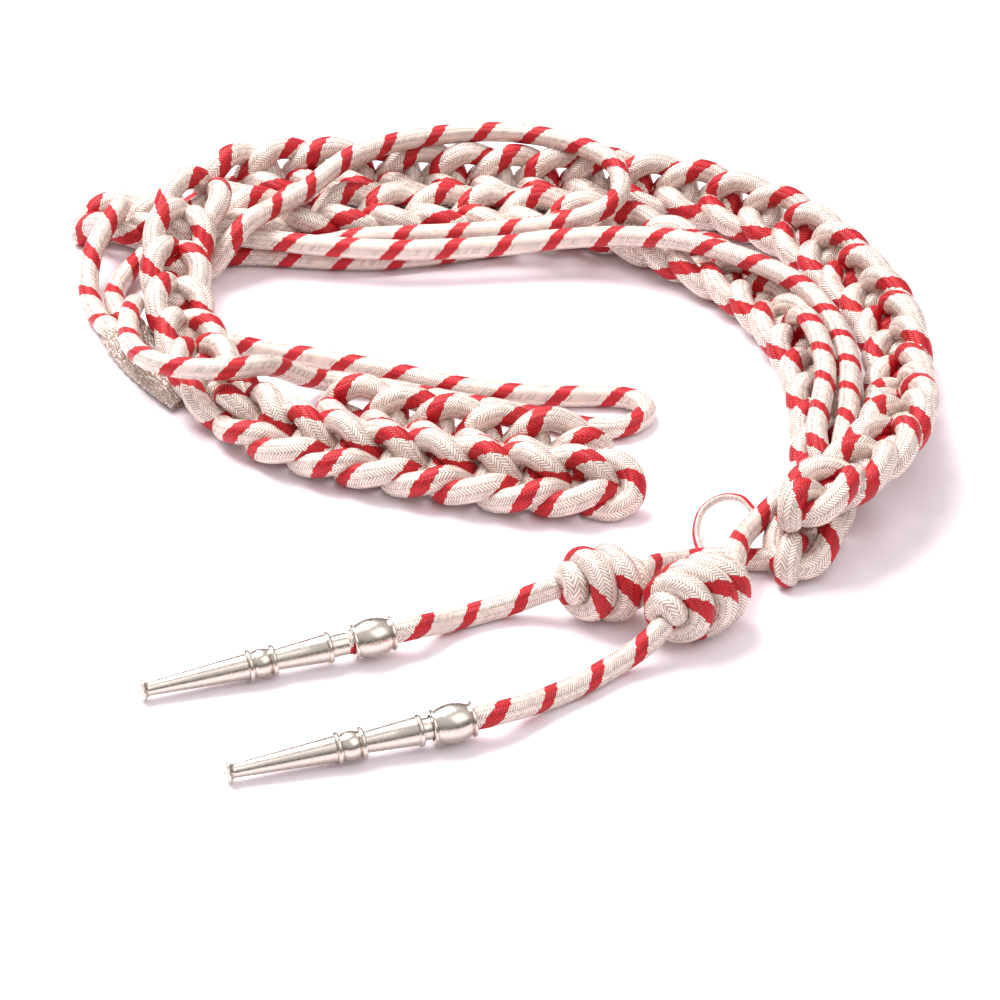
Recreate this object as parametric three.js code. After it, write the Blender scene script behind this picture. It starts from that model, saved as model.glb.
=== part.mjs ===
// A dress aiguillette of striped braided cord, as it lies loosely on a table.
// Millimetres, +Z up. The origin is on the table, under the middle of the whole.
import * as THREE from "three";

// The cord
const cordDiameter = 6;
const cordSides = 8;
const cordStep = 9;
const thinCordDiameter = 2.1;
const thinCordStep = 4;

// The plaits, which are chains of loops worked in the cord
const plaitWidth = 19;
const plaitThickness = 13;
const stitchPitch = 14.4;
const ringsPerStitch = 3;
const plaitSides = 12;
const stitchRelief = [0.8, 1, 0.94]; // share of the full section at each ring of a stitch
const valleyShare = 0.86; // depth of the seam between the two rows of loops
const stitchAdvance = 6; // how far the outer edge of a loop lies ahead of its root

// How far each plait leans over, in degrees, at shares of its length: its face turns to the inside of the bow
const longLean = [
  [0, 40],
  [0.72, 40],
  [0.9, 8],
  [1, 8],
];
const shortLean = [
  [0, 6],
  [1, 6],
];
const armLean = [
  [0, -18],
  [0.28, -18],
  [0.48, 28],
  [1, 28],
];
const underLean = [
  [0, 20],
  [1, 20],
];

// The knots
const knotOneDiameter = 22;
const knotOneLength = 28;
const knotTwoDiameter = 21;
const knotTwoLength = 22;
const knotWraps = 4;
const knotSides = 14;
const knotSlant = 0.35;
const wrapRelief = 0.12;

// The metal tags: radii along the point, measured from its tip
const tagSides = 16;
const tipButtonRadius = 2.7; // the tip ends in a flat cone with a sharp rim
const tipButtonLength = 2.8;
const tipButtonRim = 0.4;
const lowerConeLength = 25;
const lowerConeTipRadius = 1.75;
const lowerConeEndRadius = 3.3;
const collarRadius = 4.1;
const collarWidth = 1.3;
const bulbRadius = 3.75;
const bulbLength = 4.4;
const upperConeLength = 12.9;
const upperConeRootRadius = 2.7;
const upperConeEndRadius = 3.6;
const neckRadius = 2.85;
const neckLength = 4.5;
const neckBoreRadius = 2.2;
const neckBoreDepth = 3.8;
const tagRise = 0.0485; // the tag lies on its tip and its collars, so its axis rises
const beadRadius = 5;
const beadRimRadius = 4.5;
const beadRimWidth = 1;
const beadLength = 10.8;
const beadSlipOne = 0.8; // gap between the neck and the bead that has slipped off it
const beadSlipTwo = -2.4; // this bead still covers the end of its neck

// The lace tab
const laceThickness = 1;
const laceFoldGap = 0.5;

// The squarish section of a plait, upright, as a point at each angle round it
function plaitSection(angle) {
  const across = Math.cos(angle);
  const height = Math.sin(angle);
  const seam = height > 0.99 ? valleyShare : 1;
  return [
    (plaitWidth / 2) * Math.sign(across) * Math.abs(across) ** 0.85,
    (plaitThickness / 2) * seam * Math.sign(height) * Math.abs(height) ** 0.75,
  ];
}

// The section turned over by a lean
function leaningSection(angle, lean) {
  const [x, z] = plaitSection(angle);
  return [
    x * Math.cos(lean) + z * Math.sin(lean),
    z * Math.cos(lean) - x * Math.sin(lean),
  ];
}

// How far the leaning section reaches above (or below) its middle
function reach(degrees, way) {
  const lean = THREE.MathUtils.degToRad(degrees);
  let most = 0;
  for (let i = 0; i < plaitSides; i++) {
    const angle = (2 * Math.PI * i) / plaitSides;
    most = Math.max(most, way * leaningSection(angle, lean)[1]);
  }
  return most;
}

// Heights of what lies on what
const gap = 0.3;
const cordRadius = cordDiameter / 2;
const onTable = cordRadius + gap;
const longOnTable = reach(longLean[0][1], -1);
const shortOnTable = reach(shortLean[0][1], -1);
const underOnTable = reach(underLean[0][1], -1);
const armOnTable = reach(armLean[3][1], -1);
const shortTop = shortOnTable + reach(shortLean[0][1], 1);
const onShort = shortTop + gap + cordRadius;
const onLong = longOnTable + reach(longLean[0][1], 1) + gap + cordRadius;
const onArm = armOnTable + reach(armLean[3][1], 1) + gap + cordRadius;
const longOverShort = shortTop + gap + reach(longLean[3][1], -1);
const armOverShort = shortTop + gap + reach(armLean[0][1], -1);
const onCord = onTable + cordDiameter + gap;
const onLace = 2 * laceThickness + laceFoldGap + gap + cordRadius;

// Middle of the layout: routes are laid out round another point and moved by this
const layoutMiddle = [-2, 23.8];

// Routes of the plaits, end to end
const plaitLongRoute = [
  [-89, 157, longOnTable],
  [-82, 160, longOnTable],
  [-71, 165, longOnTable],
  [-57, 166.5, longOnTable],
  [-42, 165.5, longOnTable],
  [-24, 164, longOnTable],
  [-6, 162.5, longOnTable],
  [12, 161, longOnTable],
  [30, 160, longOnTable],
  [45, 157, longOnTable],
  [59, 152, longOnTable],
  [72, 144.5, longOnTable],
  [84, 134, longOnTable],
  [94, 119, longOnTable],
  [102, 101.5, longOnTable],
  [108.5, 83, longOnTable],
  [111, 64, longOnTable],
  [110.5, 45, longOnTable],
  [109.3, 30, 12.5],
  [107.8, 15, 18],
  [102, -3, longOverShort],
  [92, -18.5, longOverShort],
  [81, -29, longOverShort],
  [75, -35, longOverShort],
];
const plaitShortRoute = [
  [-124, 139, shortOnTable],
  [-116, 139, shortOnTable],
  [-105, 138.5, shortOnTable],
  [-92, 138.5, shortOnTable],
  [-76, 141, shortOnTable],
  [-58, 143.5, shortOnTable],
  [-41, 144, shortOnTable],
  [-24, 144, shortOnTable],
  [-6, 143.5, shortOnTable],
  [12, 141.5, shortOnTable],
  [29, 137, shortOnTable],
  [44, 127.5, shortOnTable],
  [58, 114, shortOnTable],
  [71.5, 98, shortOnTable],
  [80.5, 79, shortOnTable],
  [86, 60, shortOnTable],
  [88.5, 40, shortOnTable],
  [88.5, 20, shortOnTable],
  [87, 0, shortOnTable],
  [82.5, -20, shortOnTable],
  [77.5, -34, shortOnTable],
  [74, -41, shortOnTable],
];
const plaitArmRoute = [
  [-83, 139, armOverShort],
  [-86, 132, armOverShort],
  [-91, 121, 18.5],
  [-92.5, 108, 15],
  [-92.5, 96, 12],
  [-91, 84, 9.5],
  [-87.5, 72, armOnTable],
  [-83.5, 60, armOnTable],
  [-79.5, 47.5, armOnTable],
  [-73, 36.5, armOnTable],
  [-64, 25.5, armOnTable],
  [-54, 18, armOnTable],
  [-40, 11.5, armOnTable],
  [-27, 6.5, armOnTable],
  [-13, 2.5, armOnTable],
  [0, -1.5, armOnTable],
  [13, -3.5, armOnTable],
  [27, -4.5, armOnTable],
  [38.5, -4.5, armOnTable],
];
const plaitUnderRoute = [
  [-49, 38.5, underOnTable],
  [-40, 33.5, underOnTable],
  [-27, 27.5, underOnTable],
  [-13, 22.5, underOnTable],
  [0, 18.5, underOnTable],
  [13, 16, underOnTable],
  [27, 15, underOnTable],
];

// Routes of the plain cords
const loopLongRoute = [
  [-87, 113.5, onTable],
  [-83.3, 114.6, 5],
  [-79.6, 116, 9.6],
  [-76, 118.2, 14.2],
  [-72, 122, onShort + 0.9],
  [-67, 127.8, onShort + 0.9],
  [-58, 139, onShort + 0.4],
  [-44, 154.5, onLong],
  [-30, 163.5, onLong + 0.3],
  [-15, 168.8, onLong],
  [-4, 170.2, onLong],
  [7, 169, onLong],
  [18, 164.8, onLong + 0.1],
  [28.5, 157, onLong + 0.2],
  [34, 148.5, onLong],
  [35, 138, 17.8],
  [30, 129.5, 16.6],
  [17, 128, 12.6],
  [0, 129, onCord],
  [-17, 127, onCord],
  [-32, 125.7, onCord],
  [-42, 126.5, 8.4],
  [-49, 128.9, 5.5],
  [-55, 130.4, 3.8],
];
const frontCordOneRoute = [
  [-88, 126.6, 5.5],
  [-83, 126.4, 8.2],
  [-77.5, 125.2, onCord + 0.1],
  [-69.5, 123.6, onCord + 0.3],
  [-55, 120.6, onCord + 0.1],
  [-40.5, 118.4, onCord],
  [-28, 117.6, onCord],
  [-15, 118.3, onCord],
  [0, 120, onCord],
  [17, 121.1, 11.2],
  [35.5, 119, 13.4],
  [51, 112, onShort],
  [63.5, 105.5, onShort],
  [75.5, 96.5, onShort],
  [85.5, 86.5, 15.4],
  [91.5, 75, 14],
  [95, 57.5, 14.6],
  [95.6, 42, 15.9],
  [94.6, 30, 16.3],
  [93.6, 19, 17],
  [92.1, 9.8, 17.2],
];
const frontCordTwoRoute = [
  [-78.6, 125.2, onTable],
  [-73.5, 125.6, onTable],
  [-67, 125.2, onTable],
  [-58, 124, onTable],
  [-45, 122.8, onTable],
  [-32, 123.1, onTable],
  [-18, 126, onTable],
  [-8, 129, onTable],
  [1, 131.3, onTable],
];
const frontCordThreeRoute = [
  [85.5, 68, onShort],
  [87.5, 60, onShort + 0.1],
  [88.6, 50, onShort + 0.1],
  [88.4, 36, onShort + 0.1],
  [86, 20, onShort + 0.1],
  [84.2, 7.5, onShort + 0.1],
];
const loopArmRoute = [
  [-75.5, 70.6, 6.4],
  [-70, 71.3, 4.6],
  [-63, 70.6, onTable],
  [-54, 68.6, onTable],
  [-42, 64.6, onTable],
  [-28, 59.4, onTable],
  [-14, 53.5, onTable],
  [0, 49.5, onTable],
  [17, 47.5, onTable],
  [30, 47.5, onTable],
  [37, 45.5, onTable],
  [40, 40.5, onTable],
  [37.5, 34.5, onTable],
  [31.5, 31, onTable],
  [25, 31, onTable],
  [17, 34, onTable],
  [0, 40.5, onTable],
  [-14, 45, onTable],
  [-28, 50, onTable],
  [-41, 54.3, onTable],
  [-49, 54.2, 4.4],
  [-55.5, 50, 8.6],
  [-60.5, 45, 14],
  [-65.5, 40, onArm - 0.8],
  [-72, 36.6, onArm + 0.2],
  [-81, 36.4, onArm + 0.2],
  [-89.5, 39.6, onArm - 0.8],
  [-96.5, 46.5, 16],
  [-101.2, 56, 14],
  [-103.2, 66, 12.7],
  [-103.7, 76, 12.4],
  [-103.1, 84.5, 10.8],
];
const shoulderCordOneRoute = [
  [-110.5, 134, onShort - 1.4],
  [-114.6, 124.4, 12.4],
  [-117.5, 115, 9],
  [-118, 106, 5],
  [-116, 96, onTable],
  [-112.5, 87, onTable],
  [-109.5, 80, 5.7],
  [-107.5, 74, onLace],
  [-106, 69, onLace],
];
const shoulderCordTwoRoute = [
  [-102.5, 121, 6],
  [-107, 114, 4.6],
  [-110.3, 104, onTable],
  [-109, 95, onTable],
  [-105.5, 87, onTable],
  [-102.6, 80.5, 5.9],
  [-101.4, 75.5, onLace + 0.1],
];
const neckCordOneRoute = [
  [73, -20, 13],
  [69.5, -23.5, 11.4],
  [66, -27.5, 10.2],
  [63, -32.5, onCord + 0.3],
  [61.2, -39, 10.2],
  [60, -45.5, 10.6],
  [58.4, -50.6, 11],
];
const neckCordTwoRoute = [
  [66.8, -33.5, onTable],
  [61, -33, onTable],
  [54, -33, onTable],
  [47, -36, 4.4],
  [41, -41.5, 7.2],
  [36.4, -48.6, 9.8],
];
const tagCordOneStart = [
  [13.7, -54.9, 8.8],
  [9.5, -54.2, 6.6],
  [3.5, -54.8, 4.4],
  [-3, -56.6, onTable],
  [-12, -61.2, 3.5],
];
const tagCordTwoStart = [
  [40.6, -72.9, 8.8],
  [36, -76.5, 6],
  [30, -80.5, 3.9],
  [22, -87.5, onTable],
  [12, -95.5, 3.6],
];
const buttonLoopRoute = [
  [66.3, -21.4, 10.4],
  [63, -14.6, 10],
  [58, -11.5, 8],
  [53.6, -13, 5.5],
  [51.5, -19, 2.8],
  [52.2, -25.4, 1.5],
  [53, -28.2, 1.4],
];

// The knots' middles and the way that their axes point
const knotOneMiddle = [50, -62, knotOneDiameter / 2];
const knotOneAxis = [-0.66, -0.75, 0];
const knotTwoMiddle = [26, -55, knotTwoDiameter / 2];
const knotTwoAxis = [-0.95, -0.3, 0];

// The tips of the tags and the way that they point in plan
const tagOneTip = [-90, -92, tipButtonRadius + gap];
const tagOneHeading = [0.949, 0.316];
const tagTwoTip = [-67, -126, tipButtonRadius + gap];
const tagTwoHeading = [0.957, 0.289];

// Outline of the folded lace tab, corner by corner
const laceOutline = [
  [-111.5, 76],
  [-98.5, 77],
  [-94.5, 63],
  [-90, 53],
  [-87.5, 45.5],
  [-94, 46.5],
  [-103, 59],
];

const silverCord = { color: 0xe6dccf, roughness: 0.55, metalness: 0.15 };
const polishedNickel = { color: 0xd9d2cb, roughness: 0.14, metalness: 1 };
const silverLace = { color: 0xbfb5a6, roughness: 0.5, metalness: 0.35 };

const aiguillette = new THREE.Group();
aiguillette.position.set(-layoutMiddle[0], -layoutMiddle[1], 0);

function addPiece(name, geometry, look) {
  const mesh = new THREE.Mesh(geometry, new THREE.MeshStandardMaterial(look));
  mesh.name = name;
  aiguillette.add(mesh);
  return mesh;
}

function curveThrough(route) {
  const points = route.map((p) => new THREE.Vector3(...p));
  return new THREE.CatmullRomCurve3(points, false, "centripetal");
}

function closedGeometry(positions, triangles) {
  const geometry = new THREE.BufferGeometry();
  geometry.setAttribute(
    "position",
    new THREE.Float32BufferAttribute(positions, 3),
  );
  geometry.setIndex(triangles);
  geometry.computeVertexNormals();
  return geometry;
}

// A plain round cord along a route
function cordGeometry(route, diameter, step) {
  const curve = curveThrough(route);
  const section = new THREE.Shape();
  for (let i = 0; i < cordSides; i++) {
    const angle = (2 * Math.PI * i) / cordSides;
    const x = (diameter / 2) * Math.cos(angle);
    const y = (diameter / 2) * Math.sin(angle);
    if (i === 0) section.moveTo(x, y);
    else section.lineTo(x, y);
  }
  return new THREE.ExtrudeGeometry(section, {
    steps: Math.max(3, Math.round(curve.getLength() / step)),
    extrudePath: curve,
    bevelEnabled: false,
  });
}

// The lean at a share of the length
function leanAt(lean, share) {
  let k = 1;
  while (k < lean.length - 1 && share > lean[k][0]) k++;
  const [from, first] = lean[k - 1];
  const [to, last] = lean[k];
  const part = THREE.MathUtils.clamp((share - from) / (to - from), 0, 1);
  return THREE.MathUtils.degToRad(THREE.MathUtils.lerp(first, last, part));
}

// A plait: two rows of slanting loops, ridge after ridge, with a seam between the rows and round ends
function plaitGeometry(route, lean) {
  const curve = curveThrough(route);
  curve.arcLengthDivisions = 800;
  const length = curve.getLength();
  const stitches = Math.round(length / stitchPitch);
  const rings = stitches * ringsPerStitch;
  const vertical = new THREE.Vector3(0, 0, 1);
  const place = (ring, angle, relief) => {
    const fromEnd = Math.min(ring, rings - ring) / ringsPerStitch;
    const roundEnd = Math.sqrt(1 - (1 - Math.min(1, fromEnd * 2)) ** 2);
    const lead =
      stitchAdvance * Math.min(1, fromEnd) * (Math.abs(Math.cos(angle)) - 0.5);
    const share = THREE.MathUtils.clamp(ring / rings + lead / length, 0, 1);
    const along = curve.getTangentAt(share);
    const side = along.clone().cross(vertical).normalize();
    const up = side.clone().cross(along).normalize();
    const [x, z] = leaningSection(angle, leanAt(lean, share));
    return curve
      .getPointAt(share)
      .addScaledVector(side, x * relief * roundEnd)
      .addScaledVector(up, z * relief * roundEnd);
  };
  const positions = [...curve.getPointAt(0).toArray()];
  for (let ring = 1; ring < rings; ring++) {
    const relief = stitchRelief[ring % ringsPerStitch];
    for (let i = 0; i < plaitSides; i++) {
      const angle = (2 * Math.PI * i) / plaitSides;
      positions.push(...place(ring, angle, relief).toArray());
    }
  }
  positions.push(...curve.getPointAt(1).toArray());
  const triangles = [];
  const vertex = (ring, i) => 1 + (ring - 1) * plaitSides + (i % plaitSides);
  const end = 1 + (rings - 1) * plaitSides;
  for (let i = 0; i < plaitSides; i++) {
    triangles.push(0, vertex(1, i), vertex(1, i + 1));
    triangles.push(end, vertex(rings - 1, i + 1), vertex(rings - 1, i));
    for (let ring = 1; ring < rings - 1; ring++) {
      const a = vertex(ring, i);
      const b = vertex(ring, i + 1);
      const c = vertex(ring + 1, i);
      const d = vertex(ring + 1, i + 1);
      triangles.push(a, c, b, b, c, d);
    }
  }
  return closedGeometry(positions, triangles);
}

// A turned piece: its profile is a list of radius and distance along the axis
function turned(profile, sides) {
  const outline = profile.map(([radius, along]) => new THREE.Vector2(radius, along));
  return new THREE.LatheGeometry(outline, sides);
}

// Turns a piece made along +Y so that it points along a direction, and puts it in its place
function lay(mesh, place, direction) {
  const along = new THREE.Vector3(...direction).normalize();
  mesh.quaternion.setFromUnitVectors(new THREE.Vector3(0, 1, 0), along);
  mesh.position.set(...place);
}

// A barrel knot: slanting wraps of cord side by side round a middle
function knotGeometry(diameter, length) {
  const profile = [[0, -length / 2]];
  const stepsPerWrap = 4;
  const steps = knotWraps * stepsPerWrap;
  for (let i = 1; i < steps; i++) {
    const t = i / steps;
    const barrel = Math.sqrt(1 - Math.abs(2 * t - 1) ** 2.6);
    const wrap = 1 - wrapRelief + wrapRelief * Math.abs(Math.sin(Math.PI * knotWraps * t));
    profile.push([(diameter / 2) * barrel * wrap, (t - 0.5) * length]);
  }
  profile.push([0, length / 2]);
  const geometry = turned(profile, knotSides);
  const place = geometry.getAttribute("position");
  for (let i = 0; i < place.count; i++) {
    const along = place.getY(i);
    const inward = 1 - (2 * along / length) ** 2;
    place.setY(i, along + knotSlant * place.getX(i) * inward);
  }
  geometry.computeVertexNormals();
  return geometry;
}

// The metal point, from its tip to the mouth of its neck
function tagPointGeometry() {
  const coneStart = tipButtonLength + 0.2;
  const coneEnd = coneStart + lowerConeLength;
  const bulbStart = coneEnd + collarWidth + 0.4;
  const bulbEnd = bulbStart + bulbLength;
  const upperStart = bulbEnd + collarWidth + 0.4;
  const upperEnd = upperStart + upperConeLength;
  const neckStart = upperEnd + collarWidth + 0.4;
  const mouth = neckStart + neckLength;
  const collar = (from) => [
    [collarRadius - 0.4, from],
    [collarRadius, from + collarWidth * 0.3],
    [collarRadius, from + collarWidth * 0.7],
    [collarRadius - 0.4, from + collarWidth],
  ];
  return turned(
    [
      [0, 0],
      [tipButtonRadius, tipButtonLength * 0.4],
      [tipButtonRadius, tipButtonLength * 0.4 + tipButtonRim],
      [lowerConeTipRadius, tipButtonLength],
      [lowerConeTipRadius, coneStart],
      [lowerConeEndRadius, coneEnd],
      ...collar(coneEnd + 0.1),
      [bulbRadius - 0.4, bulbStart],
      [bulbRadius, bulbStart + bulbLength * 0.5],
      [bulbRadius - 0.4, bulbEnd],
      ...collar(bulbEnd + 0.1),
      [upperConeRootRadius, upperStart],
      [upperConeEndRadius, upperEnd],
      ...collar(upperEnd + 0.1),
      [neckRadius, neckStart],
      [neckRadius, mouth],
      [neckBoreRadius, mouth],
      [neckBoreRadius, mouth - neckBoreDepth],
      [0, mouth - neckBoreDepth],
    ],
    tagSides,
  );
}

const tagPointLength =
  tipButtonLength +
  0.2 +
  lowerConeLength +
  bulbLength +
  upperConeLength +
  3 * (collarWidth + 0.4) +
  neckLength;

// The hollow bead: a ball with a rim at each end, bored for the cord and the neck of its tag
function beadGeometry() {
  const bore = Math.max(cordRadius, neckRadius) + gap;
  const half = beadLength / 2;
  const ball = (share) => [beadRadius * Math.sqrt(1 - (share * 0.62) ** 2), share * (half - beadRimWidth)];
  return turned(
    [
      [bore, -half],
      [beadRimRadius, -half],
      [beadRimRadius, -half + beadRimWidth * 0.7],
      ball(-1),
      ball(-0.6),
      ball(-0.2),
      ball(0.2),
      ball(0.6),
      ball(1),
      [beadRimRadius, half - beadRimWidth * 0.7],
      [beadRimRadius, half],
      [bore, half],
      [bore, -half],
    ],
    tagSides,
  );
}

function addTag(number, tip, heading, beadSlip, cordStart) {
  const along = new THREE.Vector3(heading[0], heading[1], tagRise).normalize();
  const from = new THREE.Vector3(...tip);
  const at = (distance) => from.clone().addScaledVector(along, distance).toArray();
  const point = addPiece("tag_point_" + number, tagPointGeometry(), polishedNickel);
  lay(point, tip, along.toArray());
  const bead = addPiece("tag_bead_" + number, beadGeometry(), polishedNickel);
  const beadMiddle = tagPointLength + beadSlip + beadLength / 2;
  lay(bead, at(beadMiddle), along.toArray());
  const route = [
    ...cordStart,
    at(beadMiddle + beadLength),
    at(beadMiddle + beadLength / 2),
    at(beadMiddle),
    at(tagPointLength + gap),
  ];
  addPiece("tag_cord_" + number, cordGeometry(route, cordDiameter, cordStep * 0.7), silverCord);
}

// The folded lace tab: its two layers meet in a fold along the side away from the plait
function laceGeometry() {
  const outline = new THREE.Shape(laceOutline.map(([x, y]) => new THREE.Vector2(x, y)));
  return new THREE.ExtrudeGeometry(outline, {
    depth: 2 * laceThickness + laceFoldGap,
    bevelEnabled: false,
  });
}

addPiece("plait_long", plaitGeometry(plaitLongRoute, longLean), silverCord);
addPiece("plait_short", plaitGeometry(plaitShortRoute, shortLean), silverCord);
addPiece("plait_arm", plaitGeometry(plaitArmRoute, armLean), silverCord);
addPiece("plait_under", plaitGeometry(plaitUnderRoute, underLean), silverCord);

const plainCords = {
  loop_long: loopLongRoute,
  loop_arm: loopArmRoute,
  front_cord_1: frontCordOneRoute,
  front_cord_2: frontCordTwoRoute,
  front_cord_3: frontCordThreeRoute,
  shoulder_cord_1: shoulderCordOneRoute,
  shoulder_cord_2: shoulderCordTwoRoute,
  neck_cord_1: neckCordOneRoute,
  neck_cord_2: neckCordTwoRoute,
};
for (const [name, route] of Object.entries(plainCords)) {
  addPiece(name, cordGeometry(route, cordDiameter, cordStep), silverCord);
}
addPiece(
  "button_loop",
  cordGeometry(buttonLoopRoute, thinCordDiameter, thinCordStep),
  silverCord,
);

lay(
  addPiece("knot_1", knotGeometry(knotOneDiameter, knotOneLength), silverCord),
  knotOneMiddle,
  knotOneAxis,
);
lay(
  addPiece("knot_2", knotGeometry(knotTwoDiameter, knotTwoLength), silverCord),
  knotTwoMiddle,
  knotTwoAxis,
);

addTag(1, tagOneTip, tagOneHeading, beadSlipOne, tagCordOneStart);
addTag(2, tagTwoTip, tagTwoHeading, beadSlipTwo, tagCordTwoStart);

addPiece("lace_tab", laceGeometry(), silverLace);

export default aiguillette;
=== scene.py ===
import math

import bpy
from mathutils import Matrix, Vector


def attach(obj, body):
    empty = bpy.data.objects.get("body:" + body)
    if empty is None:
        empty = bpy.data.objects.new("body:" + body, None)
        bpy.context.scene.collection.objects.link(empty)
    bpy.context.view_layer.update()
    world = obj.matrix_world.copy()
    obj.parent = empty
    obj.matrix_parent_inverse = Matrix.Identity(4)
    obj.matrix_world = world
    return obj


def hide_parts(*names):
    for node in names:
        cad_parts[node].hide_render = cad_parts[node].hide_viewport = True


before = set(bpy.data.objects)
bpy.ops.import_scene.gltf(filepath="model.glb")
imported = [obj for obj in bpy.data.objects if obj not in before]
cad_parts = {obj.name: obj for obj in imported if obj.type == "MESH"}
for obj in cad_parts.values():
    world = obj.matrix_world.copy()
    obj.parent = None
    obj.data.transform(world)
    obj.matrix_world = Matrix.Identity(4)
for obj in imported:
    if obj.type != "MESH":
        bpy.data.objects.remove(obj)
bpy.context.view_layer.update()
print("frame loaded")

mm = 0.001
layoutMiddle = Vector((-2, 23.8, 0))  # the routes are given as laid out, and this is their middle

# Camera: the photo's angle, from the front and above
view = {"distance": 1150 * mm, "height": 33, "lens": 155.2, "aim": Vector((2, -23.8, 0)) * mm}
elevation = math.radians(view["height"])
backwards = Vector((0, -math.cos(elevation), math.sin(elevation)))
bpy.ops.object.camera_add(
    location=view["aim"] + view["distance"] * backwards,
    rotation=(math.pi / 2 - elevation, 0, 0),
)
camera = bpy.context.object
camera.name = "camera"
camera.data.lens = view["lens"]
camera.data.sensor_width = 36
camera.data.clip_start = 0.05
bpy.context.scene.camera = camera

# Sizes of the cord and the plaits, in millimetres
cord = {"diameter": 6, "sides": 24}
bentCord = {"diameter": 6.8, "sides": 24}  # the cord bulges where it is bent into a plait
woundCord = {"diameter": 7, "sides": 24}  # and where it is wound into a knot
thinCord = {"diameter": 2.1, "sides": 16}
cordStep = 0.9  # length of a segment of the cord
thinStep = 0.5
endRings = 4  # rings of vertices in the rounded end of a cord
plait = {
    "width": 19,
    "thickness": 13,
    "seam": 0.86,
    "flattening": (0.85, 0.75),  # powers that square the outline across and upwards
    "sides": 12,
}
gap = 0.3
cordRadius = cord["diameter"] / 2
laceThickness = 1
laceFoldGap = 0.5

# How far each plait leans over, in degrees, at shares of its length
longLean = [(0, 40), (0.72, 40), (0.9, 8), (1, 8)]
shortLean = [(0, 6), (1, 6)]
armUpperLean = [(0, -18), (0.56, -18), (0.96, 28), (1, 28)]
armFrontLean = [(0, -28), (1, -28)]
underLean = [(0, 20), (1, 20)]


def leaningPoint(across, height, lean):
    cosine = math.cos(lean)
    sine = math.sin(lean)
    return across * cosine + height * sine, height * cosine - across * sine


def reach(degrees, way):  # how far the leaning plait reaches above or below its middle
    most = 0
    acrossPower, upPower = plait["flattening"]
    for i in range(plait["sides"]):
        angle = 2 * math.pi * i / plait["sides"]
        across = math.cos(angle)
        height = math.sin(angle)
        seam = plait["seam"] if height > 0.99 else 1
        x = plait["width"] / 2 * math.copysign(abs(across) ** acrossPower, across)
        z = plait["thickness"] / 2 * seam * math.copysign(abs(height) ** upPower, height)
        most = max(most, way * leaningPoint(x, z, math.radians(degrees))[1])
    return most


# Heights of what lies on what
onTable = cordRadius + gap
longOnTable = reach(longLean[0][1], -1)
shortOnTable = reach(shortLean[0][1], -1)
underOnTable = reach(underLean[0][1], -1)
armOnTable = reach(armUpperLean[3][1], -1)
shortTop = shortOnTable + reach(shortLean[0][1], 1)
onShort = shortTop + gap + cordRadius
onLong = longOnTable + reach(longLean[0][1], 1) + gap + cordRadius
onArm = armOnTable + reach(armUpperLean[3][1], 1) + gap + cordRadius
longOverShort = shortTop + gap + reach(longLean[3][1], -1)
armOverShort = shortTop + gap + reach(armUpperLean[0][1], -1)
onCord = onTable + cord["diameter"] + gap
onLace = 2 * laceThickness + laceFoldGap + gap + cordRadius

# Routes, in millimetres
plaitLongRoute = [
    (-89, 157, longOnTable), (-82, 160, longOnTable), (-71, 165, longOnTable),
    (-57, 166.5, longOnTable), (-42, 165.5, longOnTable), (-24, 164, longOnTable),
    (-6, 162.5, longOnTable), (12, 161, longOnTable), (30, 160, longOnTable), (45, 157, longOnTable),
    (59, 152, longOnTable), (72, 144.5, longOnTable), (84, 134, longOnTable), (94, 119, longOnTable),
    (102, 101.5, longOnTable), (108.5, 83, longOnTable), (111, 64, longOnTable),
    (110.5, 45, longOnTable), (109.3, 30, 12.5), (107.8, 15, 18), (102, -3, longOverShort),
    (92, -18.5, longOverShort), (81, -29, longOverShort), (75, -35, longOverShort),
]
plaitShortRoute = [
    (-124, 139, shortOnTable), (-116, 139, shortOnTable), (-105, 138.5, shortOnTable),
    (-92, 138.5, shortOnTable), (-76, 141, shortOnTable), (-58, 143.5, shortOnTable),
    (-41, 144, shortOnTable), (-24, 144, shortOnTable), (-6, 143.5, shortOnTable),
    (12, 141.5, shortOnTable), (29, 137, shortOnTable), (44, 127.5, shortOnTable),
    (58, 114, shortOnTable), (71.5, 98, shortOnTable), (80.5, 79, shortOnTable), (86, 60, shortOnTable),
    (88.5, 40, shortOnTable), (88.5, 20, shortOnTable), (87, 0, shortOnTable),
    (82.5, -20, shortOnTable), (77.5, -34, shortOnTable), (74, -41, shortOnTable),
]
plaitArmRoute = [
    (-83, 139, armOverShort), (-86, 132, armOverShort), (-91, 121, 18.5), (-92.5, 108, 15),
    (-92.5, 96, 12), (-91, 84, 9.5), (-87.5, 72, armOnTable), (-83.5, 60, armOnTable),
    (-79.5, 47.5, armOnTable), (-73, 36.5, armOnTable), (-64, 25.5, armOnTable), (-54, 18, armOnTable),
    (-40, 11.5, armOnTable), (-27, 6.5, armOnTable), (-13, 2.5, armOnTable), (0, -1.5, armOnTable),
    (13, -3.5, armOnTable), (27, -4.5, armOnTable), (38.5, -4.5, armOnTable),
]
plaitUnderRoute = [
    (-49, 38.5, underOnTable), (-40, 33.5, underOnTable), (-27, 27.5, underOnTable),
    (-13, 22.5, underOnTable), (0, 18.5, underOnTable), (13, 16, underOnTable), (27, 15, underOnTable),
]
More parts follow.
